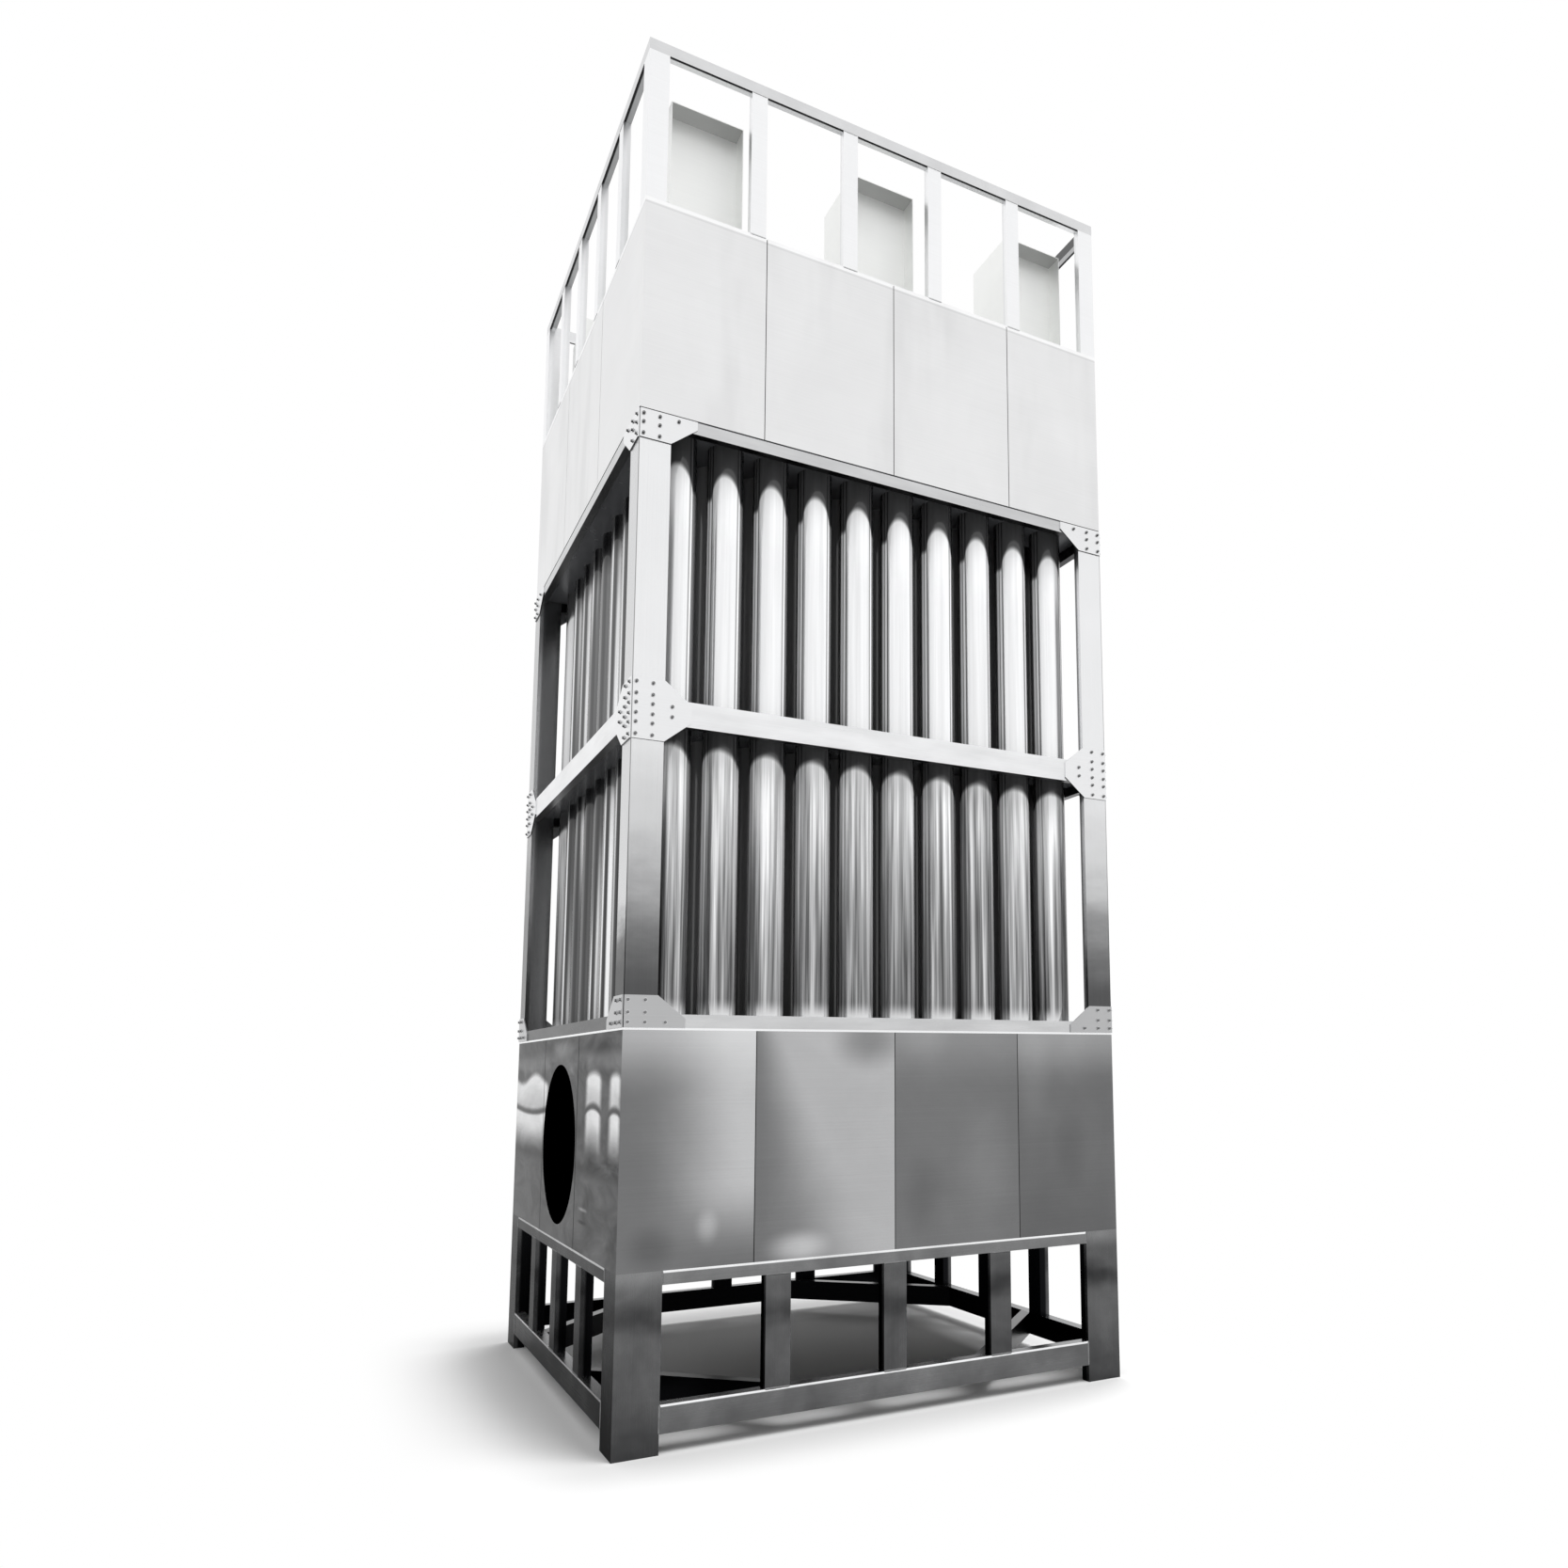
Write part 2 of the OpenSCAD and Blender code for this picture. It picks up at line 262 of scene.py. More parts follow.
    def seen(self) -> Value:
        """Tell what is looked at straight, in a mirror or through glass.

        Returns:
            1 for those rays, 0 for the light on other things.
        """
        camera, glossy, through = (self.node("ShaderNodeLightPath", output=f"Is {ray} Ray")
                                   for ray in ("Camera", "Glossy", "Transmission"))
        return self.most(self.most(camera, glossy), through)


class Shader(Nodes):
    """The node tree of one material, at a point of the surface in the part's own frame."""

    def __init__(self, name: str) -> None:
        """Start an empty material, and read where the point lies and which way it faces.

        Args:
            name: name of the material.
        """
        self.material = bpy.data.materials.new(name)
        self.material.use_nodes = True
        super().__init__(self.material.node_tree)
        self.point = self.node("ShaderNodeTexCoord", output="Object")
        normal = self.node("ShaderNodeTexCoord", output="Normal")
        self.x, self.y, self.z, self.nx, self.ny, self.nz = (
            self.node("ShaderNodeSeparateXYZ", {0: source}, output=axis)
            for source in (self.point, normal) for axis in "XYZ")

    def along(self) -> Value:
        """Distance along an upright face, from left to right as seen from outside."""
        return self.y * self.nx - self.x * self.ny

    def depth(self) -> Value:
        """How far the point lies behind the nearest face of the unit."""
        return self.least(HALF_W - abs(self.x), HALF_D - abs(self.y))

    def aside(self, start: Number = 0.0, end: Number = 1.0) -> Value:
        """Go from start on the front and back to end on the left and right."""
        return self.rise(abs(self.nx), *ASIDE, start, end)

    def drift(self, by: Three, detail: float = 2.0,
              rough: float = 0.5, warp: float = 0.0) -> Value:
        """Cloudy noise around 0, with so many clouds a metre along each axis."""
        return self.noise(self.stretch(self.point, by), 1.0, detail, rough, warp) - 0.5

    def finish(self, **sockets: object) -> bpy.types.Material:
        """End the tree in a Principled shader and return the material.

        Args:
            sockets: the shader's inputs by name, with _ for a space.

        Returns:
            The finished material.
        """
        named = {name.replace("_", " "): value for name, value in sockets.items()}
        surface = self.node("ShaderNodeBsdfPrincipled", named)
        self.node("ShaderNodeOutputMaterial", {"Surface": surface}, output=None)
        return self.material


@dataclass(frozen=True)
class Patch:
    """A soft, cloudy painted reflection on one panel of a wall, brightest in its core; a negative
    change paints it darker.
    """

    along: float
    up: float
    half_w: float
    half_h: float
    change: float
    start: float = -1.4
    end: float = 1.4
    core: float = 0.1

    def light(self, at: Shader, along: Value) -> Value:
        """Change of tone: full in the patch's core, none past its edge or the seams.

        Args:
            at: the shader at the point.
            along: distance along the wall.

        Returns:
            The change of tone.
        """
        across = (along - self.along) / self.half_w
        height = (at.z - self.up) / self.half_h
        spread = (across * across + height * height) ** 0.5
        on_panel = (along > self.start) * (along < self.end)
        return at.rise(spread, 1.0, self.core) * on_panel * self.change


@dataclass(frozen=True)
class Glint:
    """A painted reflection of a bright opening on a short wall, in two tiers with a dark line
    between.
    """

    start: float
    end: float
    lift: float = 0.0
    wave: float = 0.0
    sag: float = 0.0
    bow: float = 0.0
    edge: float = 0.09
    waves: Span = (7.5, 6.7)
    top: Span = (1.600, 1.555)
    line_top: Span = (1.420, 1.450)
    line_foot: Span = (1.415, 1.395)
    foot: Span = (1.17, 1.37)
    upper_foot: float = 0.72

    def light(self, at: Shader, along: Value) -> Value:
        """1 in the glint, 0 outside it.

        Args:
            at: the shader at the point.
            along: distance along the wall.

        Returns:
            The mask.
        """
        middle = (self.start + self.end) / 2
        off = (along - middle) / (self.end - middle)
        height = at.z + off * off * self.bow - self.lift
        line = height + (1.0 - off * off) * self.sag
        pace, phase = self.waves
        crown = height + at.math("SINE", along * pace + phase) * self.wave
        upper = at.rise(line, *self.line_top) * at.rise(crown, *self.top)
        upper = upper * at.rise(crown, self.line_top[0], self.top[1], self.upper_foot, 1.0)
        lower = at.rise(line, *self.foot) * at.rise(line, *self.line_foot)
        across = (at.rise(along, self.start, self.start + self.edge)
                  * at.rise(along, self.end, self.end - self.edge))
        return (upper + lower) * across


@dataclass(frozen=True)
class Steel:
    """Stainless steel, with painted light and shade by which way a face looks. Tones are as the
    eye sees them, from 0 black to 1 white.
    """

    name: str
    tone: float = 0.9
    # Painted light and shade: tones of faces that look up, faces that look down, and faces behind
    # the outer skin
    up_tone: float = 0.9
    down_tone: float = 0.2
    inner_tone: float = 0.3
    skin: float = 0.002
    cloud: float = 0.03
    cloud_scale: float = 1.6
    cloud_form: Three = (4.0, 0.55, 0.3)
    roughness: float = 0.3
    uneven: float = 0.35
    metallic: float = 1.0
    grain: Grain = Grain.LEVEL
    grain_form: Span = (2.0, 0.6)
    grain_tone: float = 0.02
    grain_depth: float = 0.00002
    grazing: float = 1.0
    dark: Four = (0.0008, 0.001, 0.0018, 1.0)
    light: Four = (0.985, 0.99, 1.0, 1.0)
    gamma: float = 2.2

    def outside_tone(self, at: Shader) -> Number:
        """Tone of the faces that look out, before clouds and grain."""
        return self.tone

    def metal(self, at: Shader) -> Number:
        """How metallic the surface is."""
        return self.metallic

    def inside(self, at: Shader) -> Value:
        """1 on the faces behind the outer skin, 0 on the skin."""
        return at.rise(at.depth(), self.skin * 0.5, self.skin)

    def tones(self, at: Shader, clouds: Value, lines: Value) -> Value:
        """Put the tones of all faces together, with painted light and shade by which way a face
        looks and how deep it lies.

        Args:
            at: the shader at the point.
            clouds: cloudy noise around 0.
            lines: brush lines around 0.

        Returns:
            The tone.
        """
        tone = self.outside_tone(at) + clouds * (2.0 * self.cloud)
        # Painted shade behind the skin, then painted light and shade on faces that look up and
        # down
        tone = at.blend(self.inside(at), tone, self.inner_tone)
        tone = at.blend(at.rise(at.nz, *LEVEL_FACE), tone, self.up_tone)
        tone = at.blend(at.rise(-at.nz, *LEVEL_FACE), tone, self.down_tone)
        return tone + lines * (2.0 * self.grain_tone)

    def material(self) -> bpy.types.Material:
        """Build the material.

        Returns:
            The material.
        """
        at = Shader(self.name)
        clouds = at.noise(at.point, self.cloud_scale, *self.cloud_form) - 0.5
        lines = at.drift(self.grain.value, *self.grain_form)
        tone = at.clamp(self.tones(at, clouds, lines)) ** self.gamma
        return at.finish(
            Base_Color=at.colour(tone, self.dark, self.light),
            Roughness=self.roughness + (clouds + lines) * (self.uneven * self.roughness),
            Metallic=self.metal(at),
            Specular_Tint=(self.grazing, self.grazing, self.grazing, 1.0),
            Normal=at.bump(lines + 0.5, self.grain_depth),
        )


@dataclass(frozen=True)
class BaseSteel(Steel):
    """Dark steel of the base, with a darker band, painted highlights on the top edges of its
    rails and painted shade on its short sides.
    """

    # Painted highlight lines along the top edges of the rails
    edge_levels: tuple[float, ...] = ()
    edge_h: float = 0.008
    edge_tone: float = 0.95
    # Painted shade: share of the tone kept on the short sides
    side_share: float = 0.85
    top_tone: float = 0.48
    top_z: Span = (0.66, 0.75)
    grade_z: Span = (0.0, 0.5)
    grade: Span = (-0.03, 0.04)
    band_z: float = 0.54
    band_h: float = 0.1
    band_shade: float = 0.10
    band_waver: float = 0.3
    band_clouds: Three = (2.5, 2.5, 5.0)

    def outside_tone(self, at: Shader) -> Value:
        """Lighter at the top, with a dark band below it, painted highlights on the rail edges and
        painted shade on the short sides.

        Args:
            at: the shader at the point.

        Returns:
            The tone.
        """
        low, high = (self.tone + change for change in self.grade)
        tone = at.rise(at.z, *self.grade_z, low, high)
        band_z = self.band_z - at.drift(self.band_clouds) * self.band_waver
        tone = tone - at.rise(abs(at.z - band_z), self.band_h, 0.0) * self.band_shade
        tone = at.blend(at.rise(at.z, *self.top_z), tone, self.top_tone)
        tone = tone * at.aside(1.0, self.side_share)
        for level in self.edge_levels:
            line = at.rise(abs(at.z - (level - self.edge_h / 2)), self.edge_h, self.edge_h / 2)
            tone = at.blend(line, tone, self.edge_tone)
        return tone


@dataclass(frozen=True)
class PostSteel(Steel):
    """Columns of the tube storeys, with painted light and shade: white above, grey towards their
    feet.
    """

    # Painted light and shade: heights over which the faces turn from grey feet to white, with
    # their own tones on the near and far short faces
    low: float = 1.95
    high: float = 2.75
    white: float = 3.5
    lap: float = 0.3
    last_change: float = 0.13
    foot_tone: float = 0.34
    side_foot_tone: float = 0.26
    side_foot: Span = (0.15, 0.45)
    far_foot_tone: float = 0.50
    far_tone: float = 0.86
    near_y: Span = (-0.5, 0.5)
    ragged: float = 0.45
    ragged_clouds: Three = (1.5, 1.5, 4.0)
    corner_line: float = 0.004
    corner_shade: float = 0.35

    def outside_tone(self, at: Shader) -> Value:
        """Painted shade graded from the feet up, differing by face, with ragged clouds and a dark
        corner line.

        Args:
            at: the shader at the point.

        Returns:
            The tone.
        """
        level = at.z + at.drift(self.ragged_clouds, 4.0, 0.6) * self.ragged
        front = at.rise(level, self.low, self.high, self.foot_tone,
                        self.tone - self.last_change)
        front = front + at.rise(level, self.high - self.lap, self.white, 0.0,
                                self.last_change)
        start, end = (self.low + up for up in self.side_foot)
        near = at.rise(level, start, end, self.side_foot_tone, self.tone)
        far = at.rise(level, end, self.white, self.far_foot_tone, self.far_tone)
        side = at.blend(at.rise(at.y, *self.near_y), near, far)
        tone = at.blend(at.aside(), front, side)
        edge = at.most(HALF_W - abs(at.x), HALF_D - abs(at.y))
        line = at.rise(edge, self.corner_line, self.corner_line * 0.5)
        return tone - line * self.corner_shade


@dataclass(frozen=True)
class BeamSteel(Steel):
    """Beams of the tube storeys, with a faint drift along them; the short sides get their own
    tone as painted shade.
    """

    side_tone: float = 0.93
    uneven_tone: float = 0.14
    uneven_clouds: Three = (3.0, 3.0, 14.0)

    def outside_tone(self, at: Shader) -> Value:
        """Tone of the long sides and of the short sides, as painted light and shade."""
        tone = at.blend(at.aside(), self.tone, self.side_tone)
        return tone + at.drift(self.uneven_clouds, 3.0) * self.uneven_tone


@dataclass(frozen=True)
class CasingSteel(Steel):
    """Sheet of the lower casing, with its reflections of the surroundings painted on as soft
    clouds, glints and bands.
    """

    bottom: float = 0.76
    top: float = 1.80
    long_seam: float = 0.712
    short_seam: float = 0.427
    seam_line: Span = (0.009, 0.004)
    seam_shade: float = 0.7
    # Painted reflections on the front and back: a lighter top, a glow on the first panel, a wedge
    # on the second, a lighter top and darker foot on the fourth
    top_light_z: float = 1.5
    top_light: float = 0.09
    glow_along: Span = (-1.25, -0.76)
    glow_z: Span = (0.75, 1.15)
    glow: float = 0.30
    first_top_light: float = 0.15
    wedge: float = 0.25
    wedge_lean: float = 0.10
    wedge_start: float = -0.05
    wedge_end: Span = (0.12, 0.42)
    fourth_change: Span = (0.06, 0.05)
    # Painted reflections on the short sides: ripples, a light band, a dark band and glints
    side_tone: float = 0.43
    ripple_clouds: Three = (2.4, 2.4, 7.0)
    ripple_tone: float = 0.50
    ripple_lift: float = 0.10
    light_band: Four = (1.665, 0.07, 0.01, 0.13)
    dark_band: Four = (1.16, 0.05, 0.0, -0.10)
    glint_tone: float = 0.97
    glint_metal: float = 0.25
    glint_share: float = 0.97
    glint_ripple: float = 0.5
    patches: tuple[Patch, ...] = ()
    side_patches: tuple[Patch, ...] = ()
    glints: tuple[Glint, ...] = ()

    def glare(self, at: Shader) -> Value:
        """Find the painted glints of the short walls.

        Args:
            at: the shader at the point.

        Returns:
            1 in the glints, 0 elsewhere.
        """
        bright = at.aside(-1.0, 0.0)
        for glint in self.glints:
            bright = bright + glint.light(at, at.along())
        return at.clamp(bright)

    def metal(self, at: Shader) -> Value:
        """Metallic, but pale and dull in the glints, so that they stay bright edge on."""
        return at.blend(self.glare(at), self.metallic, self.glint_metal)

    def long_wall(self, at: Shader, along: Value) -> Value:
        """Tone of the front and back: one soft painted reflection gradient a panel, then the
        painted reflection patches.

        Args:
            at: the shader at the point.
            along: distance along the wall.

        Returns:
            The tone.
        """
        first = along < -self.long_seam
        second = (along > -self.long_seam) * (along < 0.0)
        fourth = along > self.long_seam
        top_light = at.rise(at.z, self.top_light_z, self.top)
        glow = at.rise(along, *self.glow_along) * at.rise(at.z, *self.glow_z)
        first_tone = glow * self.glow + top_light * self.first_top_light * (1.0 - glow)
        fall = (self.top - at.z) / (self.top - self.bottom)
        edge = (along + self.long_seam) - fall * self.wedge_lean
        end, spread = self.wedge_end
        wedge = at.rise(edge, self.wedge_start, fall * spread + end) * self.wedge
        lighter, darker = self.fourth_change
        fourth_tone = top_light * lighter - fall * darker
        tone = self.tone + top_light * self.top_light * (1.0 - second)
        tone = tone + first * first_tone + second * wedge + fourth * fourth_tone
        for patch in self.patches:
            tone = tone + patch.light(at, along)
        return tone

    def short_wall(self, at: Shader, along: Value) -> Value:
        """Tone of the left and right: mid grey with painted reflection bands and bright painted
        glints, and dark seams.

        Args:
            at: the shader at the point.
            along: distance along the wall.

        Returns:
            The tone.
        """
        ripple = at.drift(self.ripple_clouds, 4.0, 0.6, 0.8)
        height = at.z + ripple * self.ripple_lift
        tone = self.side_tone + ripple * self.ripple_tone
        for middle, edge, core, change in (self.light_band, self.dark_band):
            tone = tone + at.rise(abs(height - middle), edge, core) * change
        for patch in self.side_patches:
            tone = tone + patch.light(at, along)
        bright = self.glare(at) * (self.glint_share + ripple * self.glint_ripple)
        tone = at.blend(bright, tone, self.glint_tone)
        seam = at.rise(abs(abs(along) - self.short_seam), *self.seam_line)
        return tone * (1.0 - seam * self.seam_shade)

    def outside_tone(self, at: Shader) -> Value:
        """Choose between the long and the short walls."""
        along = at.along()
        return at.blend(at.aside(), self.long_wall(at, along), self.short_wall(at, along))


@dataclass(frozen=True)
class PanelSteel(Steel):
    """Pale sheet of the upper casing, with faint darker clouds, a painted highlight along its top
    and a painted shade line under it.
    """

    top: float = 5.761
    # Painted highlight along the top rim, and a painted shade line under it
    rim: float = 0.012
    rim_light: float = 0.08
    rim_shade: float = 0.05
    mottle: float = 0.035
    mottle_span: Span = (0.02, 0.20)
    mottle_clouds: Three = (2.6, 2.6, 0.5)

    def outside_tone(self, at: Shader) -> Value:
        """Pale, with faint upright darker clouds, a painted highlight on the rim and a painted
        shade line below it.

        Args:
            at: the shader at the point.

        Returns:
            The tone.
        """
        mottle = at.drift(self.mottle_clouds, 3.0, 0.6)
        tone = self.tone - at.rise(mottle, *self.mottle_span) * self.mottle
        line = at.rise(self.top - at.z, self.rim, self.rim * 0.7)
        under = at.rise(abs(self.top - self.rim * 1.6 - at.z), self.rim * 0.6, 0.0)
        return tone + line * self.rim_light - under * self.rim_shade


@dataclass(frozen=True)
class TubeSteel(Steel):
    """Polished tubes, with painted reflections on the outer rows and painted shade inside the
    bundle.
    """

    half_bundle: float = 1.169
    side_from: Span = (0.17, 0.20)
    deep_from: Span = (0.13, 0.20)
    foot_z: float = 1.865
    storey_z: float = 3.245
    top_z: float = 4.685
    # Painted shade deep in the bundle
    deep_tone: float = 0.45
    dull: float = 0.1
    facing_out: Span = (0.50, 0.66)
    striped_flank: Span = (0.60, 0.50)
    dull_top: Span = (0.20, 0.60)
    # Painted shade under each plate, arched round each tube's crest
    top_shade: float = 0.30
    arch_drop: Span = (0.11, 0.16)
    arch_rise: Span = (0.07, 0.12)
    arch_mid: Span = (0.0, -0.15)
    arch_w: Span = (0.93, 0.74)
    arch_turn: float = 28.0
    shade_soft: Span = (0.02, 0.12)
    # Painted reflection streaks, painted shade down the lower storey, and a painted highlight at
    # the foot
    streak_clouds: Three = (34.0, 34.0, 0.55)
    streaks: Span = (0.22, 1.7)
    storey_fade: float = 0.25
    grade: Span = (0.54, 0.86)
    foot_h: Span = (0.09, 0.10)
    foot_tone: float = 0.9
    calmer: float = 0.6
    # Painted highlight lines and tones of the side tubes
    row_clouds: Three = (5.3, 5.3, 0.2)
    row_span: Span = (-0.05, 0.06)
    row_change: Span = (0.25, 1.6)
    side_tones: Span = (0.38, 0.26)
    side_light: float = 0.60
    # Painted highlight stripes and dark lines across the tubes
    front_stops: tuple[Span, ...] = (
        (0.0, 0.4), (0.04, 0.5), (0.06, 1.15), (0.09, 0.55), (0.12, 1.0), (0.75, 1.0),
        (0.775, 0.38), (0.80, 1.1), (0.84, 1.1), (0.86, 0.45), (0.885, 1.15),
        (0.92, 1.15), (0.95, 0.3), (1.0, 0.3))
    side_stops: tuple[Span, ...] = (
        (0.0, 0.40), (0.14, 0.10), (0.22, 1.0), (0.30, 0.9), (0.38, 0.0), (0.56, 0.0),
        (0.68, 0.80), (0.80, 0.80), (0.90, 0.1))

    def on_side(self, at: Shader) -> Value:
        """1 on the tubes behind the front and back rows."""
        return at.rise(self.half_bundle - abs(at.y), *self.side_from)

    def inside(self, at: Shader) -> Value:
        """1 deep in the bundle, 0 on the outer rows."""
        depth = at.least(self.half_bundle - abs(at.x), self.half_bundle - abs(at.y))
        return at.rise(depth, *self.deep_from)

    def crest(self, at: Shader) -> Value:
        """1 on the brightest line of a tube of the front or back row, less on its flanks."""
        turn = math.radians(self.arch_turn)
        return (at.ny * math.cos(turn) + at.nx * math.sin(turn)) * at.math("SIGN", at.y)

    def across(self, at: Shader) -> Value:
        """Place across a tube, from -1 on its right flank to 1 on its left."""
        turn = math.radians(self.arch_turn)
        return (at.nx * math.cos(turn) - at.ny * math.sin(turn)) * at.math("SIGN", at.y)

    def below(self, at: Shader) -> Value:
        """Distance below the plate that closes the storey."""
        return at.blend(at.z > self.storey_z, self.storey_z - at.z, self.top_z - at.z)

    def metal(self, at: Shader) -> Value:
        """Metallic on the crest, dull on the flanks, between the tubes and under plates.

        Args:
            at: the shader at the point.

        Returns:
            How metallic the surface is.
        """
        facing = at.rise(self.crest(at), *self.facing_out, self.dull, self.metallic)
        facing = facing * at.rise(self.across(at), *self.striped_flank, self.dull * 1.5, 1.0)
        facing = facing * at.rise(self.below(at), *self.dull_top, self.dull * 2.0, 1.0)
        return at.blend(self.inside(at), facing, self.dull)

    def soffit_shade(self, at: Shader) -> Value:
        """Painted shade under each plate, with an arch round the crest of every tube.

        Args:
            at: the shader at the point.

        Returns:
            The share of the tone that stays.
        """
        upstairs = at.z > self.storey_z
        drop = at.blend(upstairs, *self.arch_drop)
        off = self.across(at) - at.blend(upstairs, *self.arch_mid)
        off = off / at.blend(upstairs, *self.arch_w)
        sunk = 1.0 - at.most(1.0 - off * off, 0.0) ** 0.5
        arch = drop + sunk * at.blend(upstairs, *self.arch_rise)
        on_side = self.on_side(at)
        reach = at.blend(on_side, arch, drop)
        past = (self.below(at) - reach) / at.blend(on_side, *self.shade_soft)
        return at.rise(past, -1.0, 1.0, self.top_shade, 1.0)

    def outside_tone(self, at: Shader) -> Value:
        """Painted light: white upstairs, streaked grey downstairs, highlight stripes across each
        tube, darker on the short sides.

        Args:
            at: the shader at the point.

        Returns:
            The tone.
        """
        # Painted reflection streaks; painted shade greys the lower storey downwards, with a
        # painted highlight at the foot
        streaks = at.drift(self.streak_clouds, 3.0, 0.7)
        above, under = (streaks * share for share in self.streaks)
        foot, foot_top = (self.foot_z + up for up in self.foot_h)
        downstairs = at.rise(at.z, self.storey_z, self.storey_z - self.storey_fade)
        grade = at.rise(at.z, foot_top, self.storey_z, *self.grade)
        tone = at.blend(downstairs, self.tone + above, grade + under)
        tone = at.blend(at.rise(at.z, foot, self.foot_z), tone, self.foot_tone)
        # Painted highlight stripes and dark lines across each tube
        shade = at.ramp(self.across(at) * 0.5 + 0.5, self.front_stops)
        shade = at.blend(downstairs * self.calmer, shade, 1.0)
        # Painted highlight lines on the side tubes
        row = at.rise(at.drift(self.row_clouds), *self.row_span, *self.row_change)
        line = at.ramp(abs(at.ny), self.side_stops) * row
        side = at.blend(downstairs, *self.side_tones) + line * (streaks + self.side_light)
        tone = at.blend(self.on_side(at), tone * shade, side)
        return tone * self.soffit_shade(at)

    def tones(self, at: Shader, clouds: Value, lines: Value) -> Value:
        """Tone of the tube wall, with no faces that look up or down, and with painted shade deep
        in the bundle.
        """
        return at.blend(self.inside(at), self.outside_tone(at), self.deep_tone)


@dataclass(frozen=True)
class TopBeamSteel(Steel):
    """Ring of beams round the top, with painted shade along its lower edge and in its side beams.
    """

    edge_w: float = 0.016
    # Painted shade on the lower outer edge and on the side beams
    shadow_tone: float = 0.18
    side_depth: Span = (0.11, 0.13)
    side_tones: Span = (0.38, 0.72)

    def tones(self, at: Shader, clouds: Value, lines: Value) -> Value:
        """Paint shade on the outer edge of the underside, and on the side beams within.

        Args:
            at: the shader at the point.
            clouds: cloudy noise around 0.
            lines: brush lines around 0.

        Returns:
            The tone.
        """
        tone = super().tones(at, clouds, lines)
        hidden = self.inside(at) * at.rise(at.nz, *LEVEL_FACE, 1.0, 0.0)
        side = at.rise(HALF_D - abs(at.y), *self.side_depth)
        under = at.rise(-at.nz, *LEVEL_FACE)
        tone = at.blend(hidden * side, tone, at.blend(under, *self.side_tones))
        edge = at.rise(at.depth(), self.edge_w, self.edge_w * 0.6)
        return at.blend(edge * under, tone, self.shadow_tone)


class Finishes:
    """Makes each material once and hands it out."""

    def __init__(self) -> None:
        """Start with none made."""
        self.made: dict[str, bpy.types.Material] = {}

    def dress(self, thing: bpy.types.Object, steel: Steel) -> None:
        """Give an object one finish.

        Args:
            thing: the object.
            steel: the finish.
        """
        if steel.name not in self.made:
            self.made[steel.name] = steel.material()
        thing.data.materials.clear()
        thing.data.materials.append(self.made[steel.name])


def link_form(name: str, form: bmesh.types.BMesh) -> bpy.types.Object:
    """Turn a form into an object of the scene.

    Args:
        name: name of the object.
        form: its mesh, which is used up.

    Returns:
        The new object.
    """
    mesh = bpy.data.meshes.new(name)
    form.to_mesh(mesh)
    form.free()
    thing = bpy.data.objects.new(name, mesh)
    bpy.context.scene.collection.objects.link(thing)
    return thing


def add_piece(name: str, form: bmesh.types.BMesh) -> bpy.types.Object:
    """Turn a form into a piece that rides on the unit.

    Args:
        name: name of the piece.
        form: its mesh, which is used up.

    Returns:
        The new object.
    """
    piece = link_form(name, form)
    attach(piece, BODY)
    return piece


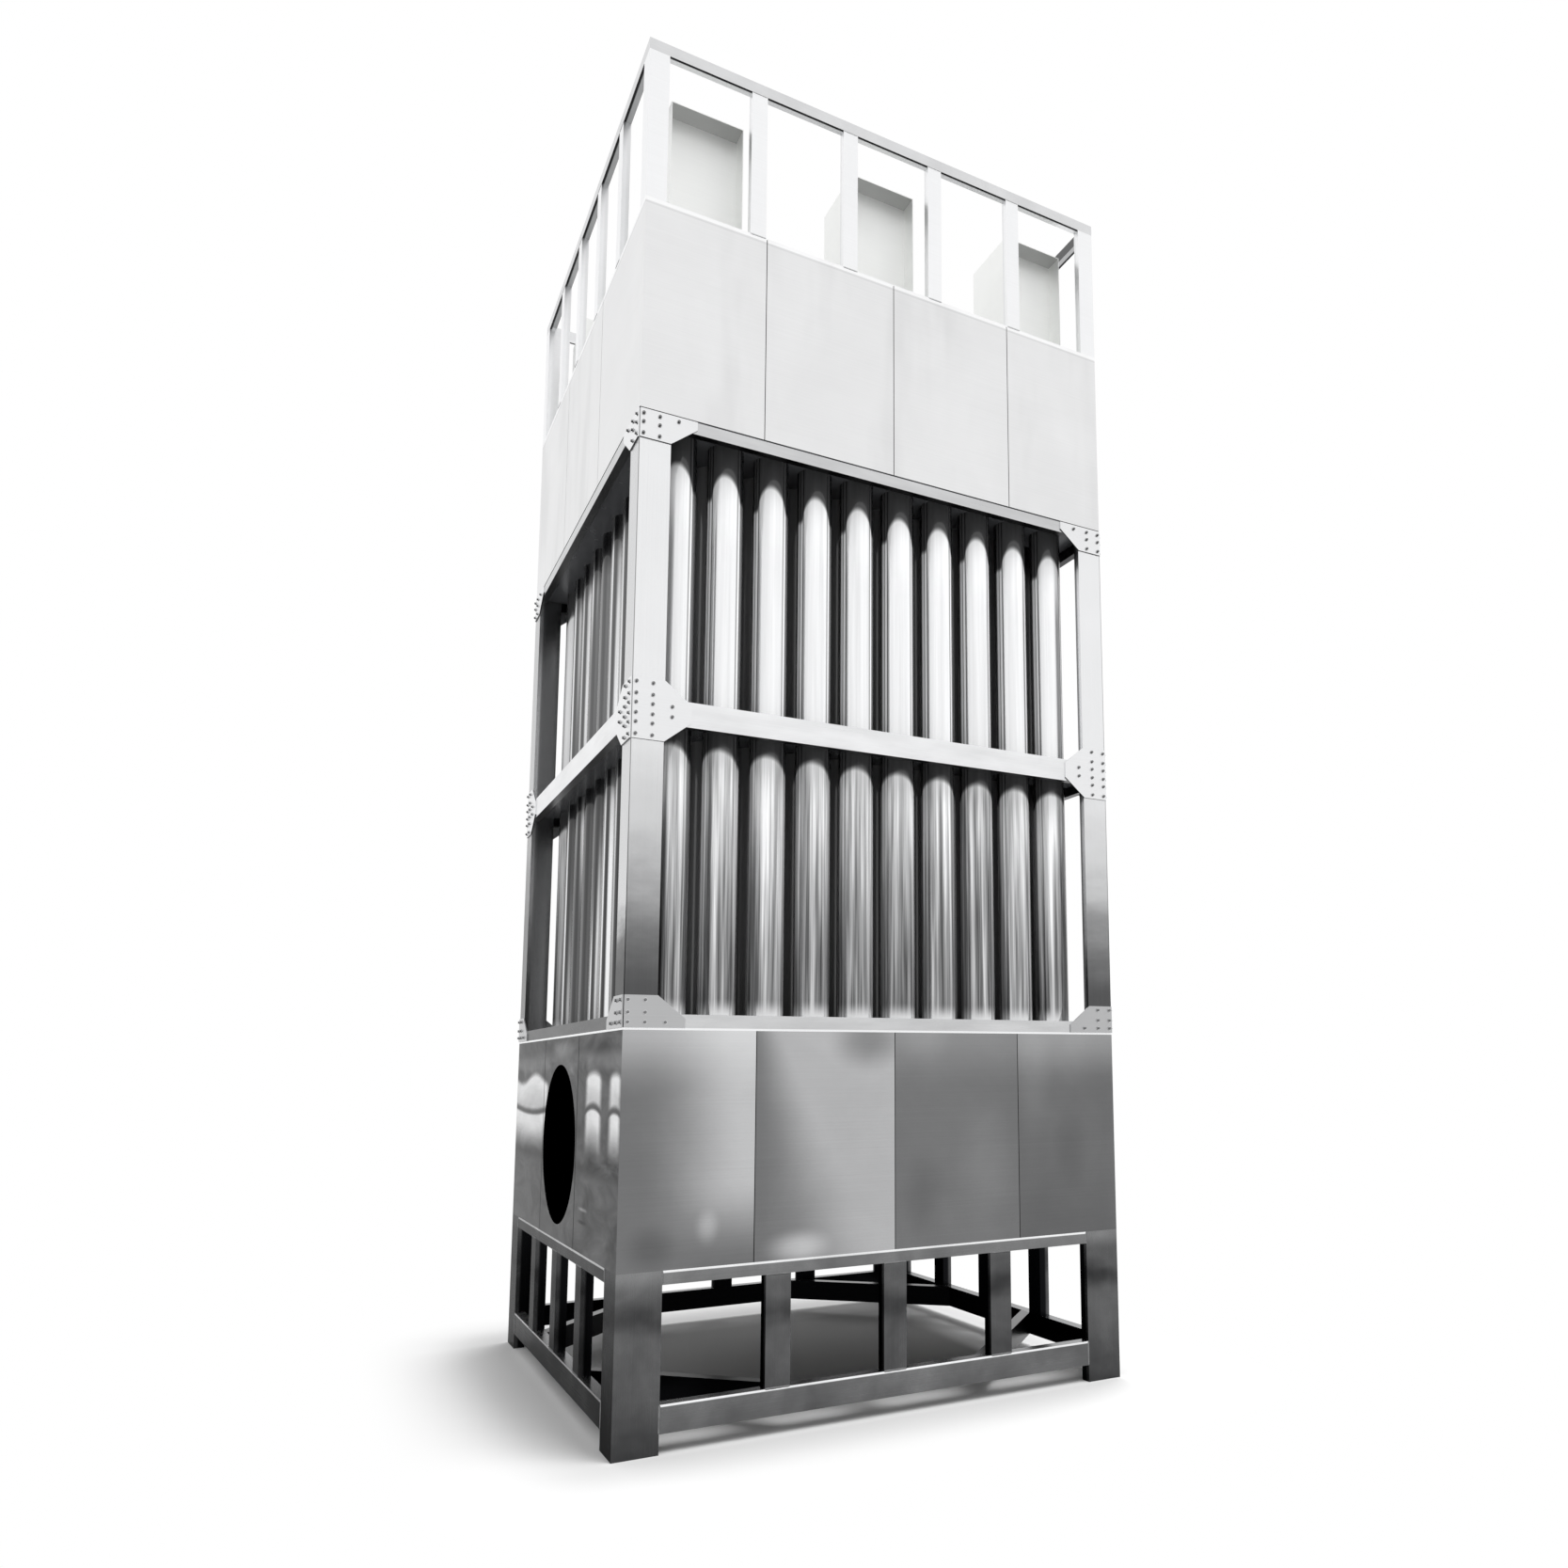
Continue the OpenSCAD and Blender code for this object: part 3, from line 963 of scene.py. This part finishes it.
@dataclass
class Studio:
    """Floor, light and camera."""

    floor_radius: float = 60.0
    floor_sides: int = 96
    floor_roughness: float = 0.9
    floor_albedo: float = 0.80
    floor_glow: float = 0.15
    # Painted shadow on the floor, round the unit's feet and under it, darker towards the front
    contact_shadow_albedo: float = 0.74
    under_shadow_albedo: Span = (0.16, 0.70)
    under_reach: float = 0.7
    rim: Span = (0.26, 0.38)
    edge_w: float = 0.06
    contact_w: float = 0.50
    fade: Span = (0.20, 0.85)
    world_soft: float = 0.80
    camera_place: Three = (-2.592, -6.402, 1.606)
    yaw: float = -29.7
    pitch: float = 7.3
    roll: float = -0.46
    focal_px: float = 1237.0
    centre_px: Span = (1012.0, 980.0)
    frame_px: float = 1667.0
    sensor_w: float = 36.0
    sight_end: float = 200.0
    lamp_size: float = 7.0
    lamp_aim: Three = (0.0, 0.0, 3.0)
    lamps: dict[str, tuple[Three, float]] = field(default_factory=lambda: {
        "back_lamp": ((3.5, 3.0, 15.0), 700.0),
        "front_lamp": ((3.0, -7.0, 14.0), 1400.0),
        "low_lamp": ((3.0, 9.0, 2.6), 160.0),
    })

    def build(self) -> None:
        """Make the whole studio."""
        self._add_camera()
        self._add_floor()
        self._add_world()
        for name, (place, power) in self.lamps.items():
            self._add_lamp(name, Vector(place), power)
        LOG.info("studio with %d lamps", len(self.lamps))

    def _add_camera(self) -> None:
        """Stand the camera where the photograph was taken."""
        bpy.context.scene.view_settings.view_transform = "Standard"
        yaw, pitch, roll = (math.radians(turn) for turn in (self.yaw, self.pitch, self.roll))
        ahead = Vector((-math.sin(yaw) * math.cos(pitch), math.cos(yaw) * math.cos(pitch),
                        math.sin(pitch)))
        right = Vector((math.cos(yaw), math.sin(yaw), 0.0))
        above = right.cross(ahead)
        right, above = (right * math.cos(roll) + above * math.sin(roll),
                        above * math.cos(roll) - right * math.sin(roll))
        data = bpy.data.cameras.new("camera")
        data.sensor_width = self.sensor_w
        data.lens = data.sensor_width * self.focal_px / self.frame_px
        data.shift_x = (self.frame_px / 2 - self.centre_px[0]) / self.frame_px
        data.shift_y = (self.centre_px[1] - self.frame_px / 2) / self.frame_px
        data.clip_end = self.sight_end
        camera = bpy.data.objects.new("camera", data)
        turn = Matrix((right, above, -ahead)).transposed()
        camera.matrix_world = Matrix.Translation(self.camera_place) @ turn.to_4x4()
        bpy.context.scene.collection.objects.link(camera)
        bpy.context.scene.camera = camera

    def _add_floor(self) -> None:
        """Lay the pale floor, with a painted shadow under and round the unit's feet, and white
        beyond.
        """
        form = bmesh.new()
        bmesh.ops.create_circle(form, cap_ends=True, segments=self.floor_sides,
                                radius=self.floor_radius)
        floor = link_form("studio_floor", form)
        at = Shader("studio_floor")
        past_x = at.most(abs(at.x) - HALF_W, 0.0)
        past_y = at.most(abs(at.y) - HALF_D, 0.0)
        gap = (past_x * past_x + past_y * past_y) ** 0.5
        # Painted shadow under the unit, darker towards the front, and round its feet
        under = at.rise(at.y, -HALF_D, HALF_D * self.under_reach, *self.under_shadow_albedo)
        under = at.blend(at.rise(at.depth(), *self.rim), self.floor_albedo, under)
        beside = at.rise(gap, 0.0, self.contact_w, self.contact_shadow_albedo, self.floor_albedo)
        albedo = at.blend(at.rise(gap, 0.0, self.edge_w), under, beside)
        seen = at.seen()
        white = seen * at.rise(gap, *self.fade)
        albedo = at.blend(white, albedo, 0.0)
        # The camera's glow of the floor fades out near the unit, as part of the painted shadow
        glow = seen * at.rise(gap, 0.0, self.contact_w) * self.floor_glow
        glow = at.blend(white, glow, 1.0)
        floor.data.materials.append(at.finish(
            Base_Color=at.colour(albedo, BLACK, WHITE), Roughness=self.floor_roughness,
            Specular_IOR_Level=0.0, Emission_Strength=1.0,
            Emission_Color=at.colour(glow, BLACK, WHITE)))

    def _add_world(self) -> None:
        """Light the studio evenly, with a white ground behind everything."""
        world = bpy.data.worlds.new("studio")
        bpy.context.scene.world = world
        world.use_nodes = True
        sky = Nodes(world.node_tree)
        soft = (self.world_soft, self.world_soft, self.world_soft, 1.0)
        light = sky.node("ShaderNodeBackground", {
            "Color": sky.colour(sky.seen(), soft, WHITE), "Strength": 1.0})
        sky.node("ShaderNodeOutputWorld", {"Surface": light}, output=None)

    def _add_lamp(self, name: str, place: Vector, power: float) -> None:
        """Hang one soft square lamp that looks at the middle of the unit.

        Args:
            name: name of the lamp.
            place: where it hangs.
            power: its power in watts.
        """
        data = bpy.data.lights.new(name, "AREA")
        data.energy = power
        data.size = self.lamp_size
        lamp = bpy.data.objects.new(name, data)
        aim = Vector(self.lamp_aim) - place
        turn = aim.to_track_quat("-Z", "Y").to_matrix().to_4x4()
        lamp.matrix_world = Matrix.Translation(place) @ turn
        lamp.visible_glossy = False
        lamp.visible_camera = False
        bpy.context.scene.collection.objects.link(lamp)


@dataclass
class Bead:
    """One straight weld bead on a wall."""

    start: Vector
    end: Vector
    normal: Vector


@dataclass
class Welder:
    """Lays weld beads where the members of a frame meet."""

    width: float = 0.009
    height: float = 0.0025
    step: float = 0.006
    wobble: float = 0.12
    end_swell: float = 0.35
    shoulder: Span = (0.5, 0.8)
    seed: int = 7

    def lay(self, name: str, beads: list[Bead]) -> bpy.types.Object:
        """Make one piece of many beads.

        Args:
            name: name of the piece.
            beads: its beads.

        Returns:
            The new piece.
        """
        form = bmesh.new()
        dice = random.Random(self.seed)
        for bead in beads:
            self._add_bead(form, bead, dice)
        return add_piece(name, form)

    def _add_bead(self, form: bmesh.types.BMesh, bead: Bead, dice: random.Random) -> None:
        """Sweep a low, slightly uneven ridge along one bead.

        Args:
            form: the mesh in work.
            bead: the line to follow.
            dice: the seeded source of unevenness.
        """
        run = bead.end - bead.start
        across = run.normalized().cross(bead.normal) * (self.width / 2)
        shoulder_w, shoulder_h = self.shoulder
        count = max(2, int(run.length / self.step))
        rings = []
        for i in range(count + 1):
            middle = bead.start + run * (i / count)
            swell = self.end_swell
            if 0 < i < count:
                swell = 1.0 + dice.uniform(-self.wobble, self.wobble)
            lift = bead.normal * (self.height * swell) * shoulder_h
            inner = across * shoulder_w * swell
            rings.append([form.verts.new(point) for point in (
                middle - across * swell, middle - inner + lift,
                middle + inner + lift, middle + across * swell)])
        for first, second in zip(rings, rings[1:]):
            for i in range(3):
                form.faces.new((first[i], first[i + 1], second[i + 1], second[i]))

    @staticmethod
    def _members(node: str) -> list[tuple[Vector, Vector]]:
        """List the corners of the separate solids of a node.

        Args:
            node: name of the node.

        Returns:
            The lowest and highest corner of each solid.
        """
        form = bmesh.new()
        form.from_mesh(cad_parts[node].data)
        bmesh.ops.remove_doubles(form, verts=form.verts, dist=0.00001)
        left = set(form.verts)
        boxes = []
        while left:
            heap = [left.pop()]
            points = []
            while heap:
                vert = heap.pop()
                points.append(vert.co.copy())
                for edge in vert.link_edges:
                    other = edge.other_vert(vert)
                    if other in left:
                        left.remove(other)
                        heap.append(other)
            boxes.append((Vector(map(min, *points)), Vector(map(max, *points))))
        form.free()
        return sorted(boxes, key=lambda box: [round(value, 4) for value in box[0]])

    @staticmethod
    def _outer_face(low: Vector, high: Vector) -> tuple[int, float, Vector]:
        """Find the face of a member that looks out of the unit.

        Args:
            low: lowest corner of the member.
            high: highest corner.

        Returns:
            The axis along the face, the place of the face, and its normal.
        """
        middle = (low + high) / 2
        along = 0 if high.x - low.x > high.y - low.y else 1
        out = 1 - along
        sign = math.copysign(1.0, middle[out])
        normal = Vector((0.0, 0.0, 0.0))
        normal[out] = sign
        return along, high[out] if sign > 0 else low[out], normal

    def ends(self, node: str, upright: bool) -> list[Bead]:
        """Lay beads on the outer face at both ends of each member.

        Args:
            node: the node of the members.
            upright: whether the members are posts, with level beads, or rails.

        Returns:
            The beads.
        """
        beads = []
        for low, high in self._members(node):
            along, face, normal = self._outer_face(low, high)
            corners = []
            for up in (low.z, high.z):
                for side in (low[along], high[along]):
                    corner = Vector((face, face, up))
                    corner[along] = side
                    corners.append(corner)
            pairs = ((0, 1), (2, 3)) if upright else ((0, 2), (1, 3))
            beads += [Bead(corners[i], corners[j], normal) for i, j in pairs]
        return beads


Pieces = dict[str, tuple[bpy.types.Object, Steel]]


@dataclass
class SubAssembly:
    """One sub-assembly of the unit, with its nodes and its own pieces."""

    def finishes(self) -> dict[str, Steel]:
        """Name the finish of every CAD node of the sub-assembly."""
        return {}

    def build(self) -> Pieces:
        """Make the pieces that the CAD leaves out, each with its finish."""
        return {}

    def dress(self, store: Finishes) -> list[str]:
        """Build the pieces, dress them and the nodes, and report each one.

        Args:
            store: the store of materials.

        Returns:
            The names of the dressed nodes.
        """
        title = type(self).__name__
        for node, steel in self.finishes().items():
            store.dress(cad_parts[node], steel)
            LOG.info("%s: node %s in %s", title, node, steel.name)
        for name, (piece, steel) in self.build().items():
            store.dress(piece, steel)
            LOG.info("%s: piece %s in %s", title, name, steel.name)
        return list(self.finishes())


@dataclass
class BaseFrame(SubAssembly):
    """Open base of square posts, rails and corner braces, welded together."""

    bottom_rail_top: float = 0.205
    top_rail_top: float = 0.760

    def finishes(self) -> dict[str, Steel]:
        """Dark brushed steel, upright grain on posts and level grain on rails.

        Returns:
            The finish of each node.
        """
        # Painted light on top faces, painted shade on undersides and on faces behind the skin
        posts = BaseSteel("base_post_steel", tone=0.32, grazing=0.4, up_tone=0.3,
                          down_tone=0.08, inner_tone=0.10, skin=0.03, cloud=0.12,
                          cloud_scale=3.5, roughness=0.26, grain=Grain.UPRIGHT)
        rails = BaseSteel("base_steel", tone=0.42, grazing=0.4, up_tone=0.88,
                          down_tone=0.08, inner_tone=0.10, skin=0.03, cloud=0.16,
                          cloud_scale=3.0, roughness=0.26,
                          edge_levels=(self.bottom_rail_top, self.top_rail_top))
        # Braces painted near black as shade under the casing, with lighter top faces
        braces = Steel("brace_steel", tone=0.12, up_tone=0.30, down_tone=0.05,
                       inner_tone=0.10)
        return {"base_feet": posts, "base_corner_posts": posts, "base_mid_posts": posts,
                "base_bottom_rails": rails, "base_top_rails": rails,
                "base_corner_braces": braces}

    def build(self) -> Pieces:
        """Weld the posts and rails together.

        Returns:
            Each piece and its finish, by name.
        """
        welder = Welder()
        beads = (welder.ends("base_mid_posts", True) + welder.ends("base_bottom_rails", False)
                 + welder.ends("base_top_rails", False))
        steel = Steel("weld_steel", tone=0.50, grazing=0.4, up_tone=0.55, inner_tone=0.4,
                      skin=0.02, cloud=0.12, cloud_scale=40.0, roughness=0.4)
        return {"base_welds": (welder.lay("base_welds", beads), steel)}


@dataclass
class LowerCasing(SubAssembly):
    """Casing of folded sheet panels, with the round gas inlet in its left wall."""

    bottom: float = 0.760
    top: float = 1.800
    half_w: float = 1.325
    long_seam: float = 0.712
    short_seam: float = 0.427

    def sheet(self) -> CasingSteel:
        """Mill-finished sheet with the clouds and glints that it would mirror painted on as
        reflections.

        Returns:
            The finish.
        """
        first, second = (-self.half_w, -self.long_seam), (-self.long_seam, 0.0)
        third, fourth = (0.0, self.long_seam), (self.long_seam, self.half_w)
        return CasingSteel(
            "lower_casing_steel", tone=0.46, grazing=0.45, up_tone=0.85, inner_tone=0.04,
            cloud=0.045, cloud_scale=2.2, roughness=0.22, bottom=self.bottom, top=self.top,
            long_seam=self.long_seam, short_seam=self.short_seam,
            patches=(
                Patch(-0.93, 0.93, 0.07, 0.10, 0.12, *first),
                Patch(-1.18, 0.85, 0.14, 0.14, -0.06, *first),
                Patch(-0.14, 1.76, 0.24, 0.18, -0.17, *second),
                Patch(-0.50, 0.81, 0.20, 0.10, 0.22, *second),
                Patch(0.15, 1.80, 0.20, 0.20, 0.05, *third),
                Patch(0.52, 1.15, 0.22, 0.50, 0.045, *third),
                Patch(0.16, 1.00, 0.15, 0.30, -0.03, *third),
                Patch(0.80, 1.60, 0.15, 0.40, 0.04, *fourth),
                Patch(1.04, 1.20, 0.14, 0.30, -0.03, *fourth),
            ),
            side_patches=(
                Patch(0.05, 1.735, 0.40, 0.06, 0.22),
                Patch(0.85, 1.73, 0.35, 0.06, -0.10),
                Patch(-0.85, 1.20, 0.42, 0.10, -0.06),
                Patch(0.62, 0.965, 0.13, 0.014, 0.32),
                Patch(0.60, 0.905, 0.12, 0.014, -0.20),
            ),
            glints=(
                Glint(-1.36, -0.28, wave=-0.028, sag=0.03),
                Glint(0.58, 0.96, lift=0.035, bow=0.04),
                Glint(1.05, 1.32, lift=0.025, bow=0.03),
            ))

    def finishes(self) -> dict[str, Steel]:
        """Sheet with painted reflections on the walls, a bright flange and a floor painted dark
        as shade.

        Returns:
            The finish of each node.
        """
        flange = Steel("flange_steel", tone=0.96, down_tone=0.5, inner_tone=0.2,
                       roughness=0.25)
        # Casing floor painted dark as shade
        floor = Steel("casing_floor_steel", tone=0.1, up_tone=0.06, down_tone=0.08,
                      inner_tone=0.06, roughness=0.4)
        walls = {f"lower_casing_{side}": self.sheet() for side in SIDES}
        return {**walls, "lower_casing_flange": flange, "casing_floor": floor}


@dataclass
class TubeStoreys(SubAssembly):
    """Two storeys of columns and beams, with the plates that hold the tubes."""

    foot: float = 1.805
    middle: float = 3.245

    def finishes(self) -> dict[str, Steel]:
        """White steel with painted shade that turns it grey towards the foot of the lower storey.

        Returns:
            The finish of each node.
        """
        columns = PostSteel("column_steel", tone=0.93, inner_tone=0.60, skin=0.03,
                            roughness=0.24, grain=Grain.UPRIGHT, grazing=0.75,
                            low=self.foot + 0.145, high=self.foot + 0.945,
                            white=self.middle + 0.255)
        # Lit and shaded copies of one beam steel: the darker tones are painted shade
        low = BeamSteel("low_beam_steel", tone=0.80, side_tone=0.50, grazing=0.6,
                        skin=0.02, roughness=0.25)
        middle = BeamSteel("beam_steel", tone=0.93, inner_tone=0.22, skin=0.02)
        high = BeamSteel("high_beam_steel", tone=0.80, side_tone=0.78, inner_tone=0.22,
                         skin=0.02)
        # Plates painted dark as undersides in shade
        plates = Steel("plate_steel", tone=0.25, up_tone=0.3, down_tone=0.36,
                       inner_tone=0.35, metallic=0.35, grazing=0.3, roughness=0.25,
                       cloud=0.05, cloud_scale=6.0, light=(0.93, 0.95, 1.0, 1.0))
        return {"lower_module_bottom_beams": low, "lower_module_columns": columns,
                "lower_module_top_beams": middle, "upper_module_bottom_beams": middle,
                "upper_module_columns": columns, "upper_module_top_beams": high,
                "lower_tube_sheet": plates, "middle_guide_plate": plates,
                "upper_tube_sheet": plates}


@dataclass
class TubeBundle(SubAssembly):
    """Ten rows of ten upright tubes."""

    rows: int = 10
    half_bundle: float = 1.169
    foot: float = 1.865
    middle: float = 3.245
    top: float = 4.685

    def finishes(self) -> dict[str, Steel]:
        """Drawn and polished steel, with upright grain and painted reflection streaks lengthwise.

        Returns:
            The finish of each node.
        """
        steel = TubeSteel("tube_steel", tone=0.94, metallic=0.7, roughness=0.10,
                          grain=Grain.UPRIGHT, half_bundle=self.half_bundle,
                          foot_z=self.foot, storey_z=self.middle, top_z=self.top)
        return {f"tube_row_{row}": steel for row in range(1, self.rows + 1)}


@dataclass
class Gussets(SubAssembly):
    """Gusset plates at the storey joints, bolted through washers."""

    head_w: float = 0.012
    head_h: float = 0.0075
    body_share: float = 0.8
    crown_share: float = 0.86
    washer_d: float = 0.020
    washer_h: float = 0.0025
    columns: tuple[float, ...] = (0.024, 0.100)
    rows: tuple[float, ...] = (0.024, 0.067, 0.122)
    beam_bolt: float = 0.190
    joints: dict[Level, tuple[float, tuple[int, ...]]] = field(default_factory=lambda: {
        Level.LOWER: (1.805, (1,)),
        Level.MIDDLE: (3.245, (1, -1)),
        Level.UPPER: (4.685, (-1,)),
    })

    def finishes(self) -> dict[str, Steel]:
        """Greyer plates below, as painted shade, and white ones above.

        Returns:
            The finish of each node.
        """
        low = Steel("low_gusset_steel", tone=0.72, inner_tone=0.5, skin=0.02)
        high = Steel("gusset_steel", tone=0.93, inner_tone=0.7, skin=0.02)
        return {level.value: low if level is Level.LOWER else high for level in Level}

    def _places(self, level: Level) -> list[tuple[float, float]]:
        """List the bolts of one plate.

        Args:
            level: the joint between two storeys.

        Returns:
            Each bolt's distance from the corner and its height.
        """
        joint, ways = self.joints[level]
        spots = [(column, row) for column in self.columns for row in self.rows]
        spots.append((self.beam_bolt, self.rows[0]))
        return [(along, joint + way * up) for way in ways for along, up in spots]

    @staticmethod
    def _add_slice(form: bmesh.types.BMesh, to_wall: Matrix, foot: float, height: float,
                   radii: Span, **settings: object) -> None:
        """Add one round or hexagon slice of a washer or head.

        Args:
            form: the mesh in work.
            to_wall: brings the z axis to the wall's outward normal.
            foot: how far its foot stands off the wall.
            height: its height.
            radii: its radius at the foot and at the top.
            settings: the number of its sides, and whether its ends are closed.
        """
        middle = Matrix.Translation((0, 0, foot + height / 2))
        bmesh.ops.create_cone(form, radius1=radii[0], radius2=radii[1], depth=height,
                              matrix=to_wall @ middle, **settings)

    def _add_washer(self, form: bmesh.types.BMesh, to_wall: Matrix) -> None:
        """Add one washer that lies on the wall."""
        radii = (self.washer_d / 2, self.washer_d / 2)
        self._add_slice(form, to_wall, 0.0, self.washer_h, radii, segments=24, cap_ends=True)

    def _add_head(self, form: bmesh.types.BMesh, to_wall: Matrix) -> None:
        """Add one hexagon head that stands on its washer.

        Args:
            form: the mesh in work.
            to_wall: brings the z axis to the wall's outward normal.
        """
        radius = self.head_w / math.sqrt(3.0)
        body_h = self.head_h * self.body_share
        self._add_slice(form, to_wall, self.washer_h, body_h, (radius, radius),
                        segments=6, cap_ends=False)
        self._add_slice(form, to_wall, self.washer_h + body_h, self.head_h - body_h,
                        (radius, radius * self.crown_share), segments=6, cap_ends=True)

    def _walls(self, level: Level) -> list[Matrix]:
        """List where the bolts of one level stand, on both faces of every corner.

        Args:
            level: the joint between two storeys.

        Returns:
            One matrix for each bolt.
        """
        low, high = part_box(level.value)
        found = []
        for sx, x in ((-1, low[0]), (1, high[0])):
            for sy, y in ((-1, low[1]), (1, high[1])):
                for along, z in self._places(level):
                    for spot, normal in (((x - sx * along, y, z), (0, sy, 0)),
                                         ((x, y - sy * along, z), (sx, 0, 0))):
                        turn = Vector(normal).to_track_quat("Z", "Y").to_matrix().to_4x4()
                        found.append(Matrix.Translation(spot) @ turn)
        return found

    def build(self) -> Pieces:
        """Bolt every gusset plate, with one piece of washers and one of heads a level.

        Returns:
            Each piece and its finish, by name.
        """
        bolts = Steel("bolt_steel", tone=0.50, up_tone=0.6, down_tone=0.1, skin=0.02)
        washers = Steel("washer_steel", tone=0.82, up_tone=0.8, down_tone=0.3,
                        inner_tone=0.5, skin=0.02)
        made = {}
        for level in Level:
            for add, kind, steel in ((self._add_washer, "washers", washers),
                                     (self._add_head, "bolts", bolts)):
                form = bmesh.new()
                for wall in self._walls(level):
                    add(form, wall)
                name = f"{level.name.lower()}_gusset_{kind}"
                made[name] = (add_piece(name, form), steel)
        return made


@dataclass
class UpperCasing(SubAssembly):
    """Casing of pale folded panels with the roof plate on it."""

    top: float = 5.761

    def finishes(self) -> dict[str, Steel]:
        """Fine matte sheet on all walls and the roof.

        Returns:
            The finish of each node.
        """
        sheet = PanelSteel("upper_casing_steel", tone=0.92, up_tone=0.88, inner_tone=0.1,
                           cloud=0.04, roughness=0.36, top=self.top,
                           light=(0.985, 0.987, 0.992, 1.0))
        walls = {f"upper_casing_{side}": sheet for side in SIDES}
        return {**walls, "roof_plate": sheet}


@dataclass
class TopFrame(SubAssembly):
    """Open roof frame of posts and a ring of beams, welded together."""

    beam_edge: float = 0.016

    def finishes(self) -> dict[str, Steel]:
        """White posts, and beams with painted shade on their lower edge.

        Returns:
            The finish of each node.
        """
        posts = Steel("top_frame_steel", tone=0.97, up_tone=0.95, down_tone=0.7,
                      inner_tone=0.92, skin=0.03, cloud=0.02, roughness=0.36)
        beams = TopBeamSteel("top_beam_steel", tone=0.86, up_tone=0.95, down_tone=0.93,
                             inner_tone=0.9, skin=0.01, cloud=0.06, cloud_scale=5.0,
                             roughness=0.36, edge_w=self.beam_edge)
        return {"top_corner_posts": posts, "top_mid_posts": posts, "top_beams": beams}

    def build(self) -> Pieces:
        """Weld the middle posts to the roof and the beams.

        Returns:
            Each piece and its finish, by name.
        """
        welder = Welder()
        piece = welder.lay("top_frame_welds", welder.ends("top_mid_posts", True))
        steel = Steel("pale_weld_steel", tone=0.84, down_tone=0.5, inner_tone=0.6,
                      skin=0.02, cloud=0.08, cloud_scale=40.0, roughness=0.4)
        return {"top_frame_welds": (piece, steel)}


@dataclass
class InsulatorBoxes(SubAssembly):
    """Six boxes on the roof, each open at its outer face."""

    sides: tuple[str, ...] = SIDES[:2]

    def finishes(self) -> dict[str, Steel]:
        """Matte sheet with a faint green cast, and painted shade under its lid.

        Returns:
            The finish of each node.
        """
        sheet = Steel("insulator_box_steel", tone=0.98, down_tone=0.68, inner_tone=0.98,
                      skin=0.1, cloud=0.04, cloud_scale=4.0, roughness=0.5,
                      light=(0.985, 0.993, 0.98, 1.0))
        return {f"insulator_boxes_{side}": sheet for side in self.sides}


def main() -> None:
    """Build the studio, then build and dress each sub-assembly in order."""
    logging.basicConfig(level=logging.INFO, format="%(message)s")
    Studio().build()
    store = Finishes()
    dressed = []
    for part in (BaseFrame(), LowerCasing(), TubeStoreys(), TubeBundle(), Gussets(),
                 UpperCasing(), TopFrame(), InsulatorBoxes()):
        dressed += part.dress(store)
    bare = set(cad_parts) - set(dressed)
    if bare:
        raise ValueError(f"nodes without a finish: {sorted(bare)}")


if __name__ == "__main__":
    main()
